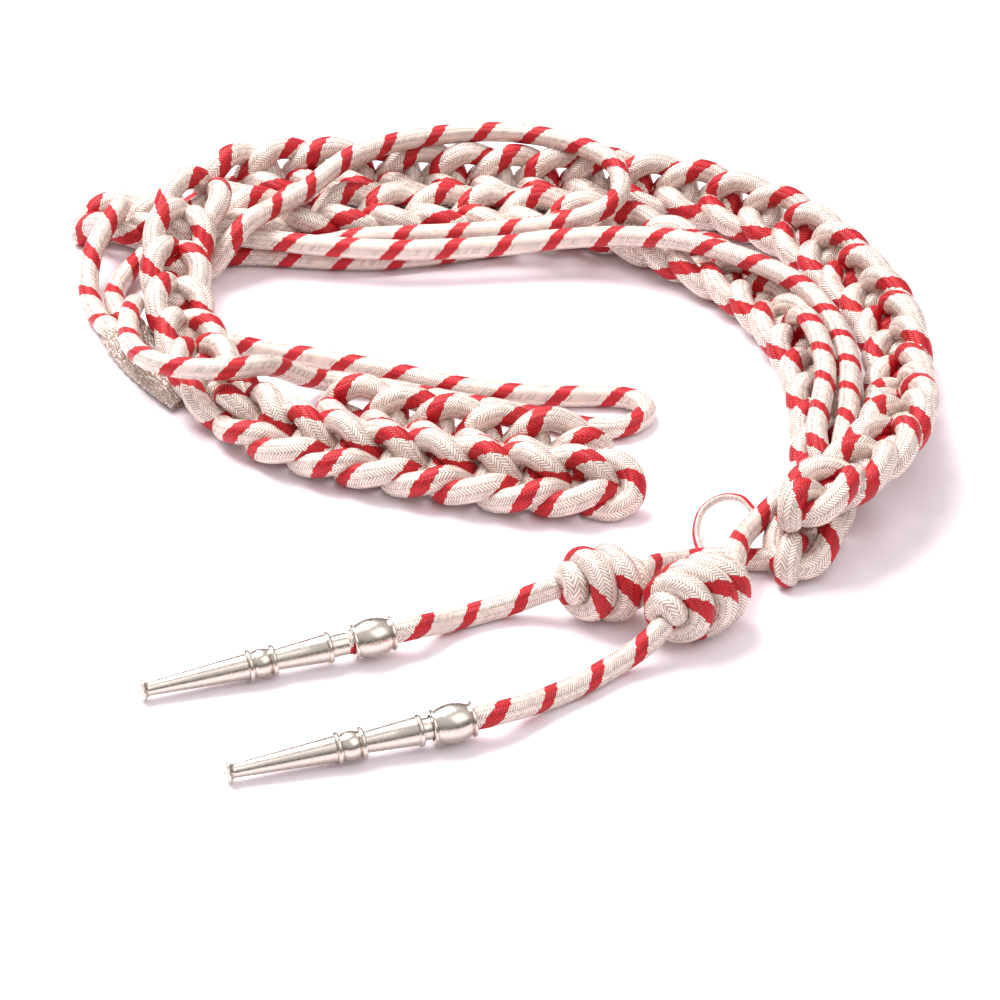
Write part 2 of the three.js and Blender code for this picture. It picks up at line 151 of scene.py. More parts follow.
loopLongRoute = [
    (-87, 113.5, onTable), (-83.3, 114.6, 5), (-79.6, 116, 9.6), (-76, 118.2, 14.2),
    (-72, 122, onShort + 0.9), (-67, 127.8, onShort + 0.9), (-58, 139, onShort + 0.4),
    (-44, 154.5, onLong), (-30, 163.5, onLong + 0.3), (-15, 168.8, onLong), (-4, 170.2, onLong),
    (7, 169, onLong), (18, 164.8, onLong + 0.1), (28.5, 157, onLong + 0.2), (34, 148.5, onLong),
    (35, 138, 17.8), (30, 129.5, 16.6), (17, 128, 12.6), (0, 129, onCord), (-17, 127, onCord),
    (-32, 125.7, onCord), (-42, 126.5, 8.4), (-49, 128.9, 5.5), (-55, 130.4, 3.8),
]
frontCordOneRoute = [
    (-88, 126.6, 5.5), (-83, 126.4, 8.2), (-77.5, 125.2, onCord + 0.1), (-69.5, 123.6, onCord + 0.3),
    (-55, 120.6, onCord + 0.1), (-40.5, 118.4, onCord), (-28, 117.6, onCord), (-15, 118.3, onCord),
    (0, 120, onCord), (17, 121.1, 11.2), (35.5, 119, 13.4), (51, 112, onShort), (63.5, 105.5, onShort),
    (75.5, 96.5, onShort), (85.5, 86.5, 15.4), (91.5, 75, 14), (95, 57.5, 14.6), (95.6, 42, 15.9),
    (94.6, 30, 16.3), (93.6, 19, 17), (92.1, 9.8, 17.2),
]
frontCordTwoRoute = [
    (-78.6, 125.2, onTable), (-73.5, 125.6, onTable), (-67, 125.2, onTable), (-58, 124, onTable),
    (-45, 122.8, onTable), (-32, 123.1, onTable), (-18, 126, onTable), (-8, 129, onTable),
    (1, 131.3, onTable),
]
frontCordThreeRoute = [
    (85.5, 68, onShort), (87.5, 60, onShort + 0.1), (88.6, 50, onShort + 0.1),
    (88.4, 36, onShort + 0.1), (86, 20, onShort + 0.1), (84.2, 7.5, onShort + 0.1),
]
loopArmRoute = [
    (-75.5, 70.6, 6.4), (-70, 71.3, 4.6), (-63, 70.6, onTable), (-54, 68.6, onTable),
    (-42, 64.6, onTable), (-28, 59.4, onTable), (-14, 53.5, onTable), (0, 49.5, onTable),
    (17, 47.5, onTable), (30, 47.5, onTable), (37, 45.5, onTable), (40, 40.5, onTable),
    (37.5, 34.5, onTable), (31.5, 31, onTable), (25, 31, onTable), (17, 34, onTable),
    (0, 40.5, onTable), (-14, 45, onTable), (-28, 50, onTable), (-41, 54.3, onTable), (-49, 54.2, 4.4),
    (-55.5, 50, 8.6), (-60.5, 45, 14), (-65.5, 40, onArm - 0.8), (-72, 36.6, onArm + 0.2),
    (-81, 36.4, onArm + 0.2), (-89.5, 39.6, onArm - 0.8), (-96.5, 46.5, 16), (-101.2, 56, 14),
    (-103.2, 66, 12.7), (-103.7, 76, 12.4), (-103.1, 84.5, 10.8),
]
shoulderCordOneRoute = [
    (-110.5, 134, onShort - 1.4), (-114.6, 124.4, 12.4), (-117.5, 115, 9), (-118, 106, 5),
    (-116, 96, onTable), (-112.5, 87, onTable), (-109.5, 80, 5.7), (-107.5, 74, onLace),
    (-106, 69, onLace),
]
shoulderCordTwoRoute = [
    (-102.5, 121, 6), (-107, 114, 4.6), (-110.3, 104, onTable), (-109, 95, onTable),
    (-105.5, 87, onTable), (-102.6, 80.5, 5.9), (-101.4, 75.5, onLace + 0.1),
]
neckCordOneRoute = [
    (73, -20, 13), (69.5, -23.5, 11.4), (66, -27.5, 10.2), (63, -32.5, onCord + 0.3), (61.2, -39, 10.2),
    (60, -45.5, 10.6), (58.4, -50.6, 11),
]
neckCordTwoRoute = [
    (66.8, -33.5, onTable), (61, -33, onTable), (54, -33, onTable), (47, -36, 4.4), (41, -41.5, 7.2),
    (36.4, -48.6, 9.8),
]
tagCordOneStart = [
    (13.7, -54.9, 8.8), (9.5, -54.2, 6.6), (3.5, -54.8, 4.4), (-3, -56.6, onTable), (-12, -61.2, 3.5),
]
tagCordTwoStart = [
    (40.6, -72.9, 8.8), (36, -76.5, 6), (30, -80.5, 3.9), (22, -87.5, onTable), (12, -95.5, 3.6),
]
buttonLoopRoute = [
    (66.3, -21.4, 10.4), (63, -14.6, 10), (58, -11.5, 8), (53.6, -13, 5.5), (51.5, -19, 2.8),
    (52.2, -25.4, 1.5), (53, -28.2, 1.4),
]


# The knots
knots = {
    "knot_1": {
        "diameter": 22,
        "length": 28,
        "middle": (50, -62, 11),
        "axis": (-0.66, -0.75, 0),
    },
    "knot_2": {
        "diameter": 21,
        "length": 22,
        "middle": (26, -55, 10.5),
        "axis": (-0.95, -0.3, 0),
    },
}

# the margin is the share of the barrel's outline that stays free of cord at each end
winding = {"slant": 0.5, "spacing": 6.9, "fullness": (0.8, 0.9), "margin": 0.06}

# The metal tags
tag = {
    "button": 2.7,
    "buttonLength": 2.8,
    "buttonRim": 0.4,
    "lowerCone": 25,
    "lowerTip": 1.75,
    "lowerEnd": 3.3,
    "collar": 4.1,
    "collarWidth": 1.3,
    "collarRound": 0.45,
    "collarGap": 0.4,
    "bulb": 3.75,
    "bulbLength": 4.4,
    "upperCone": 12.9,
    "upperRoot": 2.7,
    "upperEnd": 3.6,
    "neck": 2.85,
    "neckLength": 4.5,
    "bore": 2.2,
    "boreDepth": 3.8,
    "rise": 0.0485,
    "bead": 5,
    "beadRim": 4.5,
    "beadRimWidth": 1,
    "beadLength": 10.8,
}
tags = {
    1: {"tip": (-90, -92), "heading": (0.949, 0.316), "slip": 0.8, "start": tagCordOneStart},
    2: {"tip": (-67, -126), "heading": (0.957, 0.289), "slip": -2.4, "start": tagCordTwoStart},
}


# Centripetal curve through the points of a route, as a list of points and their distances along it
def lineThrough(route, samples=40):
    marks = [Vector(p) for p in route]
    first = 2 * marks[0] - marks[1]
    last = 2 * marks[-1] - marks[-2]
    extended = [first] + marks + [last]
    points = [marks[0].copy()]
    for k in range(1, len(extended) - 2):
        p0, p1, p2, p3 = extended[k - 1 : k + 3]
        d0 = (p1 - p0).length ** 0.5
        d1 = (p2 - p1).length ** 0.5
        d2 = (p3 - p2).length ** 0.5
        t1 = ((p1 - p0) / d0 - (p2 - p0) / (d0 + d1) + (p2 - p1) / d1) * d1
        t2 = ((p2 - p1) / d1 - (p3 - p1) / (d1 + d2) + (p3 - p2) / d2) * d1
        for i in range(1, samples + 1):
            t = i / samples
            c2 = -3 * p1 + 3 * p2 - 2 * t1 - t2
            c3 = 2 * p1 - 2 * p2 + t1 + t2
            points.append(p1 + t1 * t + c2 * t * t + c3 * t * t * t)
    distances = [0]
    for a, b in zip(points, points[1:]):
        distances.append(distances[-1] + (b - a).length)
    return points, distances


def evenPoints(line, step):
    points, distances = line
    count = max(2, round(distances[-1] / step))
    spaced = []
    k = 0
    for i in range(count + 1):
        want = distances[-1] * i / count
        while k < len(points) - 2 and distances[k + 1] < want:
            k += 1
        share = (want - distances[k]) / (distances[k + 1] - distances[k])
        spaced.append(points[k].lerp(points[k + 1], share))
    return spaced, distances[-1]


def pointOn(spaced, length, distance):  # place and direction at a distance along an even line
    step = length / (len(spaced) - 1)
    k = min(len(spaced) - 2, max(0, int(distance / step)))
    place = spaced[k] + (spaced[k + 1] - spaced[k]) * (distance / step - k)
    direction = spaced[min(len(spaced) - 1, k + 3)] - spaced[max(0, k - 2)]
    return place, direction.normalized()


def finishPiece(name, vertices, faces, uvs, material):
    mesh = bpy.data.meshes.new(name)
    mesh.from_pydata([(v - layoutMiddle) * mm for v in vertices], [], faces)
    layer = mesh.uv_layers.new(name="UVMap")
    layer.data.foreach_set("uv", [c for face in uvs for uv in face for c in uv])
    mesh.polygons.foreach_set("use_smooth", [True] * len(mesh.polygons))
    piece = bpy.data.objects.new(name, mesh)
    bpy.context.scene.collection.objects.link(piece)
    mesh.materials.append(material)
    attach(piece, "root")
    return piece


# A cord as a tube with rounded ends. U goes once round it, and V is the distance along it in millimetres.
def tube(name, spaced, kind, material, startAt=0):
    radius = kind["diameter"] / 2
    sides = kind["sides"]
    count = len(spaced)
    directions = []
    for i in range(count):
        directions.append((spaced[min(i + 1, count - 1)] - spaced[max(i - 1, 0)]).normalized())
    side = directions[0].cross(Vector((0, 0, 1))).normalized()
    rings = []
    distance = startAt
    for i in range(count):
        along = directions[i]
        if i:
            turn = directions[i - 1].rotation_difference(along)
            side = turn @ side
            side = (side - along * side.dot(along)).normalized()
            distance += (spaced[i] - spaced[i - 1]).length
        rings.append((spaced[i], along, side, radius, distance))
    caps = []
    for j in range(1, endRings + 1):
        angle = math.pi / 2 * j / (endRings + 0.5)
        caps.append((radius * math.sin(angle), radius * math.cos(angle)))
    place, along, side, _, distance = rings[0]
    start = [(place - along * out, along, side, r, distance - out) for out, r in reversed(caps)]
    place, along, side, _, distance = rings[-1]
    end = [(place + along * out, along, side, r, distance + out) for out, r in caps]
    rings = start + rings + end
    vertices = []
    for place, along, side, r, distance in rings:
        up = side.cross(along)
        for i in range(sides):
            angle = 2 * math.pi * i / sides
            vertices.append(place + side * (r * math.cos(angle)) + up * (r * math.sin(angle)))
    faces = []
    uvs = []
    for k in range(len(rings) - 1):
        near = rings[k][4]
        far = rings[k + 1][4]
        for i in range(sides):
            j = (i + 1) % sides
            faces.append((k * sides + i, (k + 1) * sides + i, (k + 1) * sides + j, k * sides + j))
            a = i / sides
            b = (i + 1) / sides
            uvs.append(((a, near), (a, far), (b, far), (b, near)))
    for k, flip in ((0, False), (len(rings) - 1, True)):
        ring = [k * sides + i for i in range(sides)]
        if flip:
            ring.reverse()
        faces.append(tuple(ring))
        uvs.append(tuple((i / sides, rings[k][4]) for i in range(sides)))
    return finishPiece(name, vertices, faces, uvs, material)


# Shader node helpers
def newMaterial(name, **values):
    material = bpy.data.materials.new(name)
    material.use_nodes = True
    shader = material.node_tree.nodes["Principled BSDF"]
    for key, value in values.items():
        shader.inputs[key.replace("_", " ")].default_value = value
    return material, material.node_tree, shader


def join(tree, source, target):
    tree.links.new(source, target)


def feed(tree, socket, value):
    if isinstance(value, (int, float, tuple)):
        socket.default_value = value
    else:
        join(tree, value, socket)


def calculate(tree, operation, a, b=0.0, c=0.0, clamp=False):
    node = tree.nodes.new("ShaderNodeMath")
    node.operation = operation
    node.use_clamp = clamp
    feed(tree, node.inputs[0], a)
    feed(tree, node.inputs[1], b)
    feed(tree, node.inputs[2], c)
    return node.outputs[0]


def mixColour(tree, share, a, b, way="MIX"):
    node = tree.nodes.new("ShaderNodeMix")
    node.data_type = "RGBA"
    node.blend_type = way
    feed(tree, node.inputs["Factor"], share)
    feed(tree, node.inputs[6], a)
    feed(tree, node.inputs[7], b)
    return node.outputs[2]


def stretch(tree, value, low, high, newLow=0.0, newHigh=1.0):
    node = tree.nodes.new("ShaderNodeMapRange")
    node.interpolation_type = "SMOOTHSTEP"
    feed(tree, node.inputs["Value"], value)
    node.inputs["From Min"].default_value = low
    node.inputs["From Max"].default_value = high
    node.inputs["To Min"].default_value = newLow
    node.inputs["To Max"].default_value = newHigh
    return node.outputs[0]


# The braided sheath: rows of slanting threads in columns along the cord, and a spiral stripe
def makeBraidGroup():
    group = bpy.data.node_groups.new("braidedSheath", "ShaderNodeTree")
    numbers = {
        "Columns": 12.0,
        "Thread": 0.7,
        "Slant": 1.7,
        "Stripe pitch": 15.5,
        "Stripe share": 0.27,
        "Step": 0.3,
    }
    for name, value in numbers.items():
        socket = group.interface.new_socket(name=name, in_out="INPUT", socket_type="NodeSocketFloat")
        socket.default_value = value
    for name in ("Height", "Stripe", "Tone and light", "Painted shading"):
        group.interface.new_socket(name=name, in_out="OUTPUT", socket_type="NodeSocketFloat")
    inputs = group.nodes.new("NodeGroupInput").outputs
    outputs = group.nodes.new("NodeGroupOutput").inputs
    uvNode = group.nodes.new("ShaderNodeUVMap")
    uvNode.uv_map = "UVMap"
    split = group.nodes.new("ShaderNodeSeparateXYZ")
    join(group, uvNode.outputs[0], split.inputs[0])
    around = split.outputs[0]
    along = split.outputs[1]
    column = calculate(group, "MULTIPLY", around, inputs["Columns"])
    columnNumber = calculate(group, "FLOOR", column)
    half = calculate(group, "MULTIPLY", columnNumber, 0.5)
    parity = calculate(group, "MULTIPLY", calculate(group, "FRACT", half), 4.0)
    way = calculate(group, "SUBTRACT", parity, 1.0)  # minus one or one, column by column
    inColumn = calculate(group, "SUBTRACT", calculate(group, "FRACT", column), 0.5)
    lean = calculate(group, "MULTIPLY", calculate(group, "MULTIPLY", inColumn, way), inputs["Slant"])
    row = calculate(group, "ADD", calculate(group, "DIVIDE", along, inputs["Thread"]), lean)
    rowNumber = calculate(group, "FLOOR", row)
    inRow = calculate(group, "SUBTRACT", calculate(group, "FRACT", row), 0.5)
    squareRow = calculate(group, "MULTIPLY", inRow, inRow)
    thread = calculate(group, "SUBTRACT", 1.0, calculate(group, "MULTIPLY", squareRow, 4.0))
    square = calculate(group, "MULTIPLY", inColumn, inColumn)
    ridge = calculate(group, "SUBTRACT", 1.0, calculate(group, "MULTIPLY", square, 4.0))
    rounded = calculate(group, "POWER", calculate(group, "MAXIMUM", ridge, 0.0), 0.5)
    height = calculate(group, "MULTIPLY", calculate(group, "ADD", thread, rounded), 0.5)
    join(group, height, outputs["Height"])
    # the stripe follows whole threads in part, so its edges are slightly stepped
    stepAlong = calculate(group, "MULTIPLY", calculate(group, "ADD", rowNumber, 0.5), inputs["Thread"])
    stepAround = calculate(group, "DIVIDE", calculate(group, "ADD", columnNumber, 0.5), inputs["Columns"])
    offAlong = calculate(group, "SUBTRACT", stepAlong, along)
    alongMixed = calculate(group, "MULTIPLY_ADD", offAlong, inputs["Step"], along)
    offAround = calculate(group, "SUBTRACT", stepAround, around)
    aroundMixed = calculate(group, "MULTIPLY_ADD", offAround, inputs["Step"], around)
    turnsAlong = calculate(group, "DIVIDE", alongMixed, inputs["Stripe pitch"])
    turn = calculate(group, "SUBTRACT", turnsAlong, aroundMixed)
    phase = calculate(group, "FRACT", turn)
    stripe = calculate(group, "LESS_THAN", phase, inputs["Stripe share"])
    join(group, stripe, outputs["Stripe"])
    place = group.nodes.new("ShaderNodeCombineXYZ")
    join(group, columnNumber, place.inputs[0])
    join(group, rowNumber, place.inputs[1])
    noise = group.nodes.new("ShaderNodeTexWhiteNoise")
    noise.noise_dimensions = "3D"
    join(group, place.outputs[0], noise.inputs["Vector"])
    # threads that slant one way catch the light, and those beside them don't
    columnLight = calculate(group, "MULTIPLY", parity, 0.15)
    join(group, calculate(group, "MULTIPLY_ADD", noise.outputs["Value"], 0.7, columnLight), outputs["Tone and light"])
    # painted shading: 1 on the crests of the threads and columns, which get a painted highlight, and 0 in
    # the dips between them, which get painted shade
    between = stretch(group, thread, 0.15, 0.95)
    seam = stretch(group, ridge, 0.0, 0.45, 0.45, 1.0)
    join(group, calculate(group, "MULTIPLY", between, seam), outputs["Painted shading"])
    return group


braidGroup = makeBraidGroup()

# light is a painted highlight on the crests of the threads and shade is painted shade in the dips between
# them; red and redShade do the same in the stripe
cordLook = {
    "light": (1.0, 0.885, 0.82, 1),
    "shade": (0.46, 0.28, 0.21, 1),
    "red": (0.68, 0.012, 0.022, 1),
    "redShade": (0.26, 0.001, 0.004, 1),
    "roughness": 0.36,
    "metal": 0.25,
    "bump": 0.8,
    "bumpDistance": 0.00025,
}


def makeCordMaterial(name, **braidValues):
    material, tree, shader = newMaterial(name, Metallic=cordLook["metal"])
    braid = tree.nodes.new("ShaderNodeGroup")
    braid.node_tree = braidGroup
    for key, value in braidValues.items():
        braid.inputs[key.replace("_", " ")].default_value = value
    stripe = braid.outputs["Stripe"]
    paintedShading = braid.outputs["Painted shading"]
    # each thread's own random tone times a painted highlight on every other column of threads
    toneAndLight = stretch(tree, braid.outputs["Tone and light"], 0.0, 1.0, 0.76, 1.04)
    # painted shade in the dips between the threads and a painted highlight on their crests
    silver = mixColour(tree, paintedShading, cordLook["shade"], cordLook["light"])
    red = mixColour(tree, paintedShading, cordLook["redShade"], cordLook["red"])
    both = mixColour(tree, stripe, silver, red)
    grey = tree.nodes.new("ShaderNodeCombineColor")
    for socket in grey.inputs[:3]:
        join(tree, toneAndLight, socket)
    toned = mixColour(tree, 1.0, both, grey.outputs[0], "MULTIPLY")
    join(tree, toned, shader.inputs["Base Color"])
    smoothest = cordLook["roughness"] - 0.1
    roughest = cordLook["roughness"] + 0.12
    glint = stretch(tree, braid.outputs["Tone and light"], 0.0, 1.0, smoothest, roughest)
    rough = calculate(tree, "MULTIPLY_ADD", stripe, 0.1, glint)
    join(tree, rough, shader.inputs["Roughness"])
    bump = tree.nodes.new("ShaderNodeBump")
    bump.inputs["Strength"].default_value = cordLook["bump"]
    bump.inputs["Distance"].default_value = cordLook["bumpDistance"]
    join(tree, braid.outputs["Height"], bump.inputs["Height"])
    join(tree, bump.outputs[0], shader.inputs["Normal"])
    return material


cordMaterial = makeCordMaterial("stripedCord")
thinMaterial = makeCordMaterial("thinCord", Columns=6.0, Thread=0.5, Stripe_pitch=600.0, Stripe_share=0.34)
print("cord materials made")

# Plain cords
plainCords = {
    "loop_long": (loopLongRoute, "object"),
    "loop_arm": (loopArmRoute, "object"),
    "front_cord_1": (frontCordOneRoute, "object"),
    "front_cord_2": (frontCordTwoRoute, "object"),
    "front_cord_3": (frontCordThreeRoute, "object"),
    "shoulder_cord_1": (shoulderCordOneRoute, "object"),
    "shoulder_cord_2": (shoulderCordTwoRoute, "object"),
    "neck_cord_1": (neckCordOneRoute, "knot"),
    "neck_cord_2": (neckCordTwoRoute, "knot"),
}
stripeStarts = {"loop_long": 2, "front_cord_1": 6, "button_loop": 182}  # how far along the stripe they begin
# hidden ends run on into the loops of the plaits, and the shoulder cords go down into the lace
runOnStart = {"neck_cord_2": [(71.5, -34.5, 4.5)], "front_cord_3": [(82, 81, 7), (83.8, 74.5, 13)]}
runOnEnd = {
    "front_cord_1": [(90.8, 3.4, 15.2)],
    "front_cord_3": [(84.6, 1.6, 14.6), (86, -4.2, 9.6)],
}
laceMouth = 78  # below this y the shoulder cords are inside the lace tab
intoLace = {
    "shoulder_cord_1": [(-107.3, 77, 4.6), (-105, 72, 3.4)],
    "shoulder_cord_2": [(-101.7, 76, 4.3), (-100.8, 71, 3.5)],
}


def declareCord(name):
    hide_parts(name)


for name, (route, farEnd) in plainCords.items():
    whole = list(route)
    if name in runOnStart:
        whole = runOnStart[name] + whole
    if name in runOnEnd:
        whole += runOnEnd[name]
    if name in intoLace:
        whole = [point for point in whole if point[1] > laceMouth] + intoLace[name]
    spaced, length = evenPoints(lineThrough(whole), cordStep)
    start = stripeStarts.get(name, 0)
    piece = tube(name + "_braid", spaced, cord, cordMaterial, start)
    declareCord(name)
    print(name, round(length, 1))

spaced, length = evenPoints(lineThrough(buttonLoopRoute), thinStep)
piece = tube("button_loop_braid", spaced, thinCord, thinMaterial, stripeStarts["button_loop"])
declareCord("button_loop")
print("plain cords made")

# One stitch of a plait: a loop of cord that comes up, spreads, and closes round the next loop.
# Along the plait, across it and upwards, in millimetres, for one side; the other side mirrors it.
stitch = {
    "half": [
        (-1.6, 1.5, -3.4),
        (0.2, 1.9, -0.3),
        (3.2, 3.9, 2.8),
        (7.8, 6.5, 3.3),
        (13.2, 7.0, 1.1),
        (17.8, 5.0, -1.5),
    ],
    "head": (19.8, 0, -2.2),
    "link": (7.2, 0, -4.6),
    # the end of the cord comes up through the last loop and lies over its head
    "close": [
        (8.6, 0.4, -4.4),
        (12.2, 0.6, -1.6),
        (15.2, 0.4, 1.8),
        (19.0, 0.2, 3.7),
        (22.9, 0, 0.7),
        (23.2, 0, -2.6),
    ],
    # at a free end the first turn of cord is laid round the end of the plait
    "ring": [
        (10, 4.4, -3.4),
        (4, 6.6, -0.2),
        (-2.4, 6.2, 1.4),
        (-6.6, 2, 1),
        (-6.2, -3.6, -0.6),
        (-0.6, -6.6, -1.6),
        (5, -5, -3.6),
        (1.5, -1.2, -5),
    ],
    "ringRoom": 10,
    "pitch": 14,
}


def leanAt(lean, share):
    for (a, first), (b, last) in zip(lean, lean[1:]):
        if share <= b:
            part = min(1, max(0, (share - a) / (b - a)))
            return math.radians(first + (last - first) * part)
    return math.radians(lean[-1][1])


def makePlait(name, node, route, lean, ringed=False, closed=True):
    spaced, length = evenPoints(lineThrough(route), 0.5)
    overhang = stitch["head"][0] + cordRadius
    room = stitch["ringRoom"] if ringed else cordRadius
    stitches = 1 + round((length - overhang - room) / stitch["pitch"])
    pitch = (length - overhang - room) / (stitches - 1)
    path = []

    def put(number, point, mirror=1):
        x, y, z = point
        distance = room + number * pitch + x
        place, along = pointOn(spaced, length, distance)
        side = along.cross(Vector((0, 0, 1))).normalized()
        up = side.cross(along).normalized()
        across, height = leaningPoint(mirror * y, z, leanAt(lean, distance / length))
        path.append(place + side * across + up * height)

    if ringed:
        for point in stitch["ring"]:
            put(0, point)
    for number in range(stitches):
        for point in stitch["half"]:
            put(number, point)
        put(number, stitch["head"])
        for point in reversed(stitch["half"]):
            put(number, point, -1)
        if number < stitches - 1:
            put(number, stitch["link"])
    if closed:
        for point in stitch["close"]:
            put(stitches - 1, point)
    cordPath, cordLength = evenPoints(lineThrough(path, 10), cordStep)
    radius = bentCord["diameter"] / 2
    for point in cordPath:  # loops that would sink into the table lie on it
        point.z = max(point.z, radius)
    piece = tube(name + "_chain", cordPath, bentCord, cordMaterial)
    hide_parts(node)
    low = min(p.z for p in cordPath) - radius
    high = max(p.z for p in cordPath) + radius
    print(name, stitches, "stitches", round(cordLength), "mm of cord, z", round(low, 1), round(high, 1))


makePlait("plait_long", "plait_long", plaitLongRoute, longLean)
makePlait("plait_short", "plait_short", plaitShortRoute, shortLean)
makePlait("plait_under", "plait_under", plaitUnderRoute, underLean)
# The stitches of the shoulder plait change their direction where loop_arm crosses it. Those above it are
# worked down from the shoulder, and the others from the free end. The last loops of both lie in each other.
armCrossing = 9
armUpper = plaitArmRoute[: armCrossing + 1] + [(-69, 31.6, armOnTable)]
armFront = plaitArmRoute[armCrossing:][::-1] + [(-74.5, 39.1, armOnTable)]
makePlait("plait_arm_upper", "plait_arm", armUpper, armUpperLean, closed=False)
makePlait("plait_arm_front", "plait_arm", armFront, armFrontLean, ringed=True)
print("plaits made")


# A knot: the cord wound round itself from end to end of a barrel
def makeKnot(name, facts):
    reachOut = (facts["diameter"] - woundCord["diameter"]) / 2
    acrossPower, alongPower = winding["fullness"]
    samples = 120
    stepsPerTurn = 24
    halfLength = facts["length"] / 2 - cordRadius
    outline = []
    for i in range(samples + 1):
        angle = math.pi * (i / samples - 0.5)
        across = reachOut * math.cos(angle) ** acrossPower
        lengthwise = halfLength * math.copysign(abs(math.sin(angle)) ** alongPower, angle)
        outline.append(Vector((across, lengthwise, 0)))
    distances = [0]
    for a, b in zip(outline, outline[1:]):
        distances.append(distances[-1] + (b - a).length)
    turn = Vector((0, 1, 0)).rotation_difference(Vector(facts["axis"]).normalized())
    middle = Vector(facts["middle"])
    total = distances[-1]
    turns = total / winding["spacing"]
    path = []
    k = 0
    count = round(turns * stepsPerTurn)
    for i in range(count + 1):
        want = total * (winding["margin"] + (1 - 2 * winding["margin"]) * i / count)
        while distances[k + 1] < want:
            k += 1
        spot = outline[k].lerp(outline[k + 1], (want - distances[k]) / (distances[k + 1] - distances[k]))
        angle = 2 * math.pi * turns * i / count
        inward = 1 - (spot.y / (halfLength + cordRadius)) ** 2
        x = spot.x * math.cos(angle)
        place = Vector((x, spot.y + winding["slant"] * x * inward, spot.x * math.sin(angle)))
        path.append(middle + turn @ place)
    cordPath, cordLength = evenPoints(lineThrough([tuple(p) for p in path], 6), cordStep)
    piece = tube(name + "_wraps", cordPath, woundCord, cordMaterial)
    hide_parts(name)
    print(name, round(cordLength), "mm of cord")


for name, facts in knots.items():
    makeKnot(name, facts)
print("knots made")

# Metal
metalLook = {
    "colour": (0.63, 0.555, 0.5, 1),
    "roughness": 0.24,
    "brush": 900,
    "bump": 0.08,
    "bumpDistance": 0.0001,
}


def makeMetal():
    material, tree, shader = newMaterial("polishedNickel", Metallic=1.0)
    coordinates = tree.nodes.new("ShaderNodeTexCoord")
    noise = tree.nodes.new("ShaderNodeTexNoise")
    noise.inputs["Scale"].default_value = metalLook["brush"]
    noise.inputs["Detail"].default_value = 3
    join(tree, coordinates.outputs["Object"], noise.inputs["Vector"])
    smoothest = metalLook["roughness"] - 0.04
    roughest = metalLook["roughness"] + 0.06
    rough = stretch(tree, noise.outputs[0], 0.3, 0.7, smoothest, roughest)
    join(tree, rough, shader.inputs["Roughness"])
    shader.inputs["Base Color"].default_value = metalLook["colour"]
    bump = tree.nodes.new("ShaderNodeBump")
    bump.inputs["Strength"].default_value = metalLook["bump"]
    bump.inputs["Distance"].default_value = metalLook["bumpDistance"]
    join(tree, noise.outputs[0], bump.inputs["Height"])
    join(tree, bump.outputs[0], shader.inputs["Normal"])
    return material


metal = makeMetal()


def turnedPiece(name, profile, place, direction):
    bpy.ops.object.select_all(action="DESELECT")
    mesh = bpy.data.meshes.new(name)
    edges = [(i, i + 1) for i in range(len(profile) - 1)]
    mesh.from_pydata([(r * mm, y * mm, 0) for r, y in profile], edges, [])
    piece = bpy.data.objects.new(name, mesh)
    bpy.context.scene.collection.objects.link(piece)
    piece.select_set(True)
    bpy.context.view_layer.objects.active = piece
    bpy.ops.object.mode_set(mode="EDIT")
    bpy.ops.mesh.select_all(action="SELECT")
    bpy.ops.mesh.spin(steps=48, angle=2 * math.pi, center=(0, 0, 0), axis=(0, 1, 0))
    bpy.ops.mesh.select_all(action="SELECT")
    bpy.ops.mesh.remove_doubles(threshold=0.00002)
    bpy.ops.mesh.normals_make_consistent(inside=False)
    bpy.ops.object.mode_set(mode="OBJECT")
    turn = Vector((0, 1, 0)).rotation_difference(direction.normalized())
    mesh.transform(Matrix.Translation((place - layoutMiddle) * mm) @ turn.to_matrix().to_4x4())
    bpy.ops.object.shade_smooth_by_angle(angle=math.radians(32))
    mesh.materials.append(metal)
    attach(piece, "root")
    return piece


def roundedCollar(start):
    width = tag["collarWidth"]
    inner = tag["collar"] - tag["collarRound"]
    profile = []
    for i in range(7):
        angle = math.pi * i / 6
        radius = inner + tag["collarRound"] * math.sin(angle)
        profile.append((radius, start + width * (0.5 - 0.5 * math.cos(angle))))
    return profile


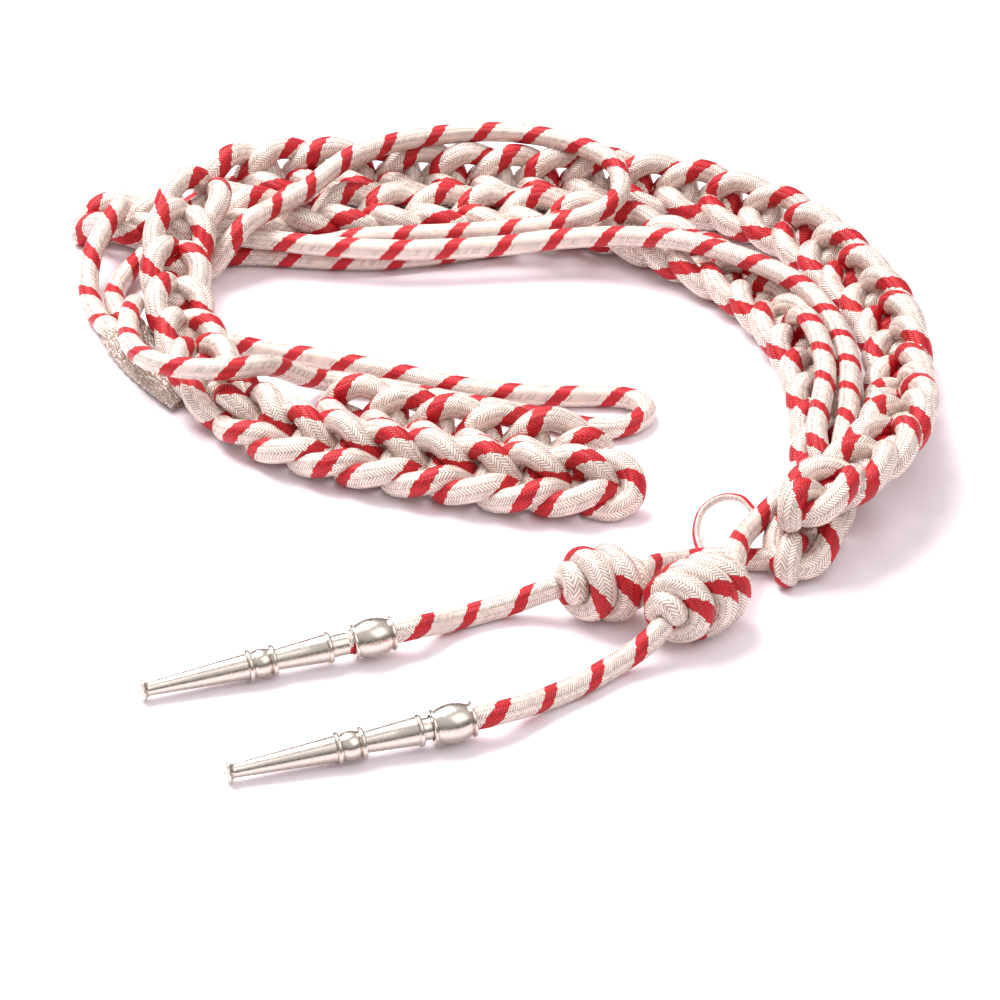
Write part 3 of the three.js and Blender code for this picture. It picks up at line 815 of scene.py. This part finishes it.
def tagProfile():
    coneStart = tag["buttonLength"] + 0.2
    coneEnd = coneStart + tag["lowerCone"]
    bulbStart = coneEnd + tag["collarWidth"] + tag["collarGap"]
    bulbEnd = bulbStart + tag["bulbLength"]
    upperStart = bulbEnd + tag["collarWidth"] + tag["collarGap"]
    upperEnd = upperStart + tag["upperCone"]
    neckStart = upperEnd + tag["collarWidth"] + tag["collarGap"]
    mouth = neckStart + tag["neckLength"]
    front = tag["buttonLength"] * 0.4  # a flat cone with a sharp rim, flared out of the point
    back = front + tag["buttonRim"]
    profile = [(0, 0), (tag["button"] - 0.15, front - 0.06), (tag["button"], front + 0.08)]
    profile.append((tag["button"], back - 0.08))
    for i in range(1, 6):
        share = i / 6
        flare = (1 - share) ** 2.2
        radius = tag["lowerTip"] + (tag["button"] - 0.12 - tag["lowerTip"]) * flare
        profile.append((radius, back + (coneStart - back) * share))
    profile.append((tag["lowerTip"], coneStart))
    profile.append((tag["lowerTip"] * 0.5 + tag["lowerEnd"] * 0.5, (coneStart + coneEnd) / 2))
    profile.append((tag["lowerEnd"], coneEnd))
    profile += roundedCollar(coneEnd + 0.1)
    for i in range(9):
        share = i / 8
        swell = 0.6 * (math.sin(math.pi * share) ** 0.7 - 1)
        profile.append((tag["bulb"] + swell, bulbStart + share * tag["bulbLength"]))
    profile += roundedCollar(bulbEnd + 0.1)
    profile.append((tag["upperRoot"], upperStart))
    profile.append(((tag["upperRoot"] + tag["upperEnd"]) / 2, (upperStart + upperEnd) / 2))
    profile.append((tag["upperEnd"], upperEnd))
    profile += roundedCollar(upperEnd + 0.1)
    profile += [
        (tag["neck"], neckStart),
        (tag["neck"], mouth - 0.3),
        (tag["neck"] - 0.3, mouth),
        (tag["bore"], mouth),
        (tag["bore"], mouth - tag["boreDepth"]),
        (0, mouth - tag["boreDepth"]),
    ]
    return profile, mouth


def beadProfile():
    bore = max(cordRadius, tag["neck"]) + gap
    half = tag["beadLength"] / 2
    profile = [(bore, -half), (tag["beadRim"] - 0.2, -half), (tag["beadRim"], -half + 0.2)]
    profile.append((tag["beadRim"], -half + 0.7))
    for i in range(17):
        share = i / 8 - 1
        radius = tag["bead"] * math.sqrt(1 - (share * 0.62) ** 2)
        profile.append((radius, share * (half - tag["beadRimWidth"])))
    profile.append((tag["beadRim"], half - 0.7))
    profile += [(tag["beadRim"], half - 0.2), (tag["beadRim"] - 0.2, half), (bore, half), (bore, -half)]
    return profile


pointProfile, pointLength = tagProfile()
for number, facts in tags.items():
    along = Vector((facts["heading"][0], facts["heading"][1], tag["rise"])).normalized()
    tip = Vector((facts["tip"][0], facts["tip"][1], tag["button"] + gap))
    point = turnedPiece(f"tag_point_{number}_metal", pointProfile, tip, along)
    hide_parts(f"tag_point_{number}")
    beadMiddle = pointLength + facts["slip"] + tag["beadLength"] / 2
    bead = turnedPiece(f"tag_bead_{number}_metal", beadProfile(), tip + along * beadMiddle, along)
    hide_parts(f"tag_bead_{number}")
    route = list(facts["start"])  # from the knot through the bead, to the mouth of the neck
    for distance in (
        beadMiddle + tag["beadLength"],
        beadMiddle + tag["beadLength"] / 2,
        beadMiddle,
        pointLength + gap,
    ):
        route.append(tuple(tip + along * distance))
    spaced, length = evenPoints(lineThrough(route), cordStep)
    piece = tube(f"tag_cord_{number}_braid", spaced, cord, cordMaterial)
    declareCord(f"tag_cord_{number}")
print("tags made")

# The lace tab: a band of silver lace round the ends of the two shoulder cords, pressed flat towards its tip
lace = {
    "outer": [(-111.8, 76.5), (-108.2, 69.5), (-104, 62.5), (-99, 55), (-94.2, 48.6), (-90.2, 43.8)],
    "inner": [(-97.6, 77.5), (-95.4, 70), (-92.8, 64), (-90, 59), (-88, 54.5), (-86.2, 49)],
    "rows": 110,
    "around": 96,
    "girth": 27,  # the width of the band as cut, which goes once round
    "wall": 0.6,
    "startHeight": 8.6,
    "tipHeight": 3.4,
    "hollow": 0.35,
    "bottom": 0.3,
    "fallFrom": 0.06,
    "fallOver": 0.34,
    "frayedFrom": 0.97,
}
# the darkest colour is painted shade for the dips between the strands and the lightest a painted glint on
# their crests; the middle one is the lace's own beige
laceLook = {
    "metal": 0.3,
    "roughness": 0.38,
    "valleyShade": (0.30, 0.205, 0.16, 1),
    "middle": (0.74, 0.58, 0.48, 1),
    "light": (1.0, 0.96, 0.9, 1),
    "strand": 1.0,
    "crossing": 0.8,
}


def makeLaceMaterial():
    metal, roughness = laceLook["metal"], laceLook["roughness"]
    material, tree, shader = newMaterial("silverLace", Metallic=metal, Roughness=roughness)
    uvNode = tree.nodes.new("ShaderNodeUVMap")
    uvNode.uv_map = "UVMap"
    split = tree.nodes.new("ShaderNodeSeparateXYZ")
    join(tree, uvNode.outputs[0], split.inputs[0])
    drift = tree.nodes.new("ShaderNodeTexNoise")
    drift.inputs["Scale"].default_value = 0.5
    join(tree, uvNode.outputs[0], drift.inputs["Vector"])
    strand = calculate(tree, "DIVIDE", split.outputs[0], laceLook["strand"])
    strandNumber = calculate(tree, "FLOOR", strand)
    inStrand = calculate(tree, "SUBTRACT", calculate(tree, "FRACT", strand), 0.5)
    half = calculate(tree, "MULTIPLY", strandNumber, 0.5)
    way = calculate(tree, "MULTIPLY_ADD", calculate(tree, "FRACT", half), 4.0, -1.0)
    lean = calculate(tree, "MULTIPLY", inStrand, calculate(tree, "MULTIPLY", way, 1.1))
    wander = calculate(tree, "MULTIPLY_ADD", drift.outputs[0], 2.0, lean)
    crossings = calculate(tree, "DIVIDE", split.outputs[1], laceLook["crossing"])
    crossing = calculate(tree, "ADD", crossings, wander)
    crossingNumber = calculate(tree, "FLOOR", crossing)
    inCrossing = calculate(tree, "SUBTRACT", calculate(tree, "FRACT", crossing), 0.5)
    ridge = calculate(tree, "MULTIPLY_ADD", calculate(tree, "MULTIPLY", inStrand, inStrand), -4.0, 1.0)
    thread = calculate(tree, "MULTIPLY_ADD", calculate(tree, "MULTIPLY", inCrossing, inCrossing), -4.0, 1.0)
    height = calculate(tree, "MULTIPLY", ridge, thread)
    cell = tree.nodes.new("ShaderNodeCombineXYZ")
    join(tree, strandNumber, cell.inputs[0])
    join(tree, crossingNumber, cell.inputs[1])
    chance = tree.nodes.new("ShaderNodeTexWhiteNoise")
    join(tree, cell.outputs[0], chance.inputs["Vector"])
    # painted glints: random cells of the weave get a painted highlight on their crests
    glintChance = stretch(tree, chance.outputs["Value"], 0.4, 0.75)
    paintedGlint = calculate(tree, "MULTIPLY", glintChance, stretch(tree, height, 0.25, 0.6))
    # painted shade: the lace is darker in the dips between its strands
    base = mixColour(tree, stretch(tree, height, 0.1, 0.7), laceLook["valleyShade"], laceLook["middle"])
    colour = mixColour(tree, paintedGlint, base, laceLook["light"])
    join(tree, colour, shader.inputs["Base Color"])
    bump = tree.nodes.new("ShaderNodeBump")
    bump.inputs["Strength"].default_value = 0.9
    bump.inputs["Distance"].default_value = 0.0003
    join(tree, height, bump.inputs["Height"])
    join(tree, bump.outputs[0], shader.inputs["Normal"])
    return material


def makeLace():
    outerLine, length = evenPoints(lineThrough([(x, y, 0) for x, y in lace["outer"]]), 0.1)
    innerLine, _ = evenPoints(lineThrough([(x, y, 0) for x, y in lace["inner"]]), 0.1)
    rows = lace["rows"]
    around = lace["around"]
    vertices = []
    for r in range(rows + 1):
        share = r / rows
        outer = outerLine[round((len(outerLine) - 1) * share)]
        inner = innerLine[round((len(innerLine) - 1) * share)]
        fall = min(1, max(0, (share - lace["fallFrom"]) / lace["fallOver"]))
        fall = fall * fall * (3 - 2 * fall)
        top = lace["startHeight"] + (lace["tipHeight"] - lace["startHeight"]) * fall
        hollow = lace["hollow"] * fall
        middle = (outer + inner) / 2
        half = (inner - outer) / 2
        onward = half.cross(Vector((0, 0, 1))).normalized()
        for i in range(around):
            angle = 2 * math.pi * i / around
            across = math.copysign(abs(math.cos(angle)) ** 0.8, math.cos(angle))
            up = math.copysign(abs(math.sin(angle)) ** 0.6, math.sin(angle))
            # waves of the lace, from its large folds down to single threads
            puff = 0.25 * math.sin(3 * across + 0.11 * r) + 0.3 * math.sin(0.17 * r + 2 * across)
            puff += 0.16 * math.sin(9 * across + 0.3 * r) + 0.16 * math.sin(0.6 * r + 4 * across)
            puff += 0.1 * math.sin(1.5 * r - 5 * across) + 0.1 * math.sin(16 * across + 0.9 * r)
            level = 0.5 + 0.5 * up * (1 - hollow * (1 - across * across))
            height = lace["bottom"] + (top - lace["bottom"]) * level + puff * max(0, up)
            edge = 1 + 0.035 * math.sin(0.55 * r) + 0.02 * math.sin(1.7 * r)
            frayed = 0.6 * math.sin(11 * angle) + 0.4 * math.sin(23 * angle)
            place = middle + half * across * edge
            place += onward * frayed * max(0, share - lace["frayedFrom"]) * 12
            vertices.append(Vector((place.x, place.y, max(0.15, height))))
    faces = []
    uvs = []
    for r in range(rows):
        near = length * r / rows
        far = length * (r + 1) / rows
        for i in range(around):
            j = (i + 1) % around
            faces.append((r * around + i, r * around + j, (r + 1) * around + j, (r + 1) * around + i))
            a = lace["girth"] * i / around
            b = lace["girth"] * (i + 1) / around
            uvs.append(((a, near), (b, near), (b, far), (a, far)))
    piece = finishPiece("lace_tab_weave", vertices, faces, uvs, makeLaceMaterial())
    bpy.ops.object.select_all(action="DESELECT")
    piece.select_set(True)
    bpy.context.view_layer.objects.active = piece
    bpy.ops.object.mode_set(mode="EDIT")
    bpy.ops.mesh.select_all(action="SELECT")
    bpy.ops.mesh.normals_make_consistent(inside=False)
    bpy.ops.object.mode_set(mode="OBJECT")
    # the band is open at both ends, with an inner side
    bpy.ops.object.modifier_add(type="SOLIDIFY")
    wall = piece.modifiers[-1]
    wall.thickness = lace["wall"] * mm
    wall.offset = -1
    bpy.ops.object.modifier_apply(modifier=wall.name)
    bpy.ops.object.shade_smooth_by_angle(angle=math.radians(60))
    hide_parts("lace_tab")
    surface = sum(face.area for face in piece.data.polygons)
    share = surface / 2 / (lace["girth"] * length * mm * mm)
    print("lace", round(length, 1), "by", lace["girth"], "mm as cut, area share", round(share, 2))


makeLace()
print("lace tab made")

# Floor and light
bpy.ops.object.select_all(action="DESELECT")
bpy.ops.mesh.primitive_plane_add(size=6, location=(0, 0, 0))
floor = bpy.context.object
floor.name = "floor"
floorMaterial, _, floorShader = newMaterial("paleFloor", Roughness=0.7)
floorShader.inputs["Base Color"].default_value = (0.97, 0.895, 0.95, 1)
floorShader.inputs["Specular IOR Level"].default_value = 0.2
floor.data.materials.append(floorMaterial)

lights = {
    "key": {"place": (-0.45, 0.5, 1.1), "size": 0.85, "power": 26},
    "fill": {"place": (0.6, -0.5, 1.0), "size": 1.0, "power": 4},
}
for name, facts in lights.items():
    place = Vector(facts["place"])
    bpy.ops.object.light_add(type="AREA", location=place)
    lamp = bpy.context.object
    lamp.name = name
    lamp.data.size = facts["size"]
    lamp.data.energy = facts["power"]
    lamp.rotation_euler = (-place).to_track_quat("-Z", "Y").to_euler()

scene = bpy.context.scene
world = bpy.data.worlds.new("studio")
world.use_nodes = True
worldTree = world.node_tree
skyStrength = 0.82
sky = worldTree.nodes.new("ShaderNodeTexCoord")
skySplit = worldTree.nodes.new("ShaderNodeSeparateXYZ")
join(worldTree, sky.outputs["Generated"], skySplit.inputs[0])
brightness = stretch(worldTree, skySplit.outputs[2], 0.1, 0.75, 0.2, 1.0)
join(worldTree, brightness, worldTree.nodes["Background"].inputs[0])
worldTree.nodes["Background"].inputs[1].default_value = skyStrength
scene.world = world
scene.view_settings.view_transform = "Standard"
scene.view_settings.look = "None"
scene.view_settings.exposure = 0
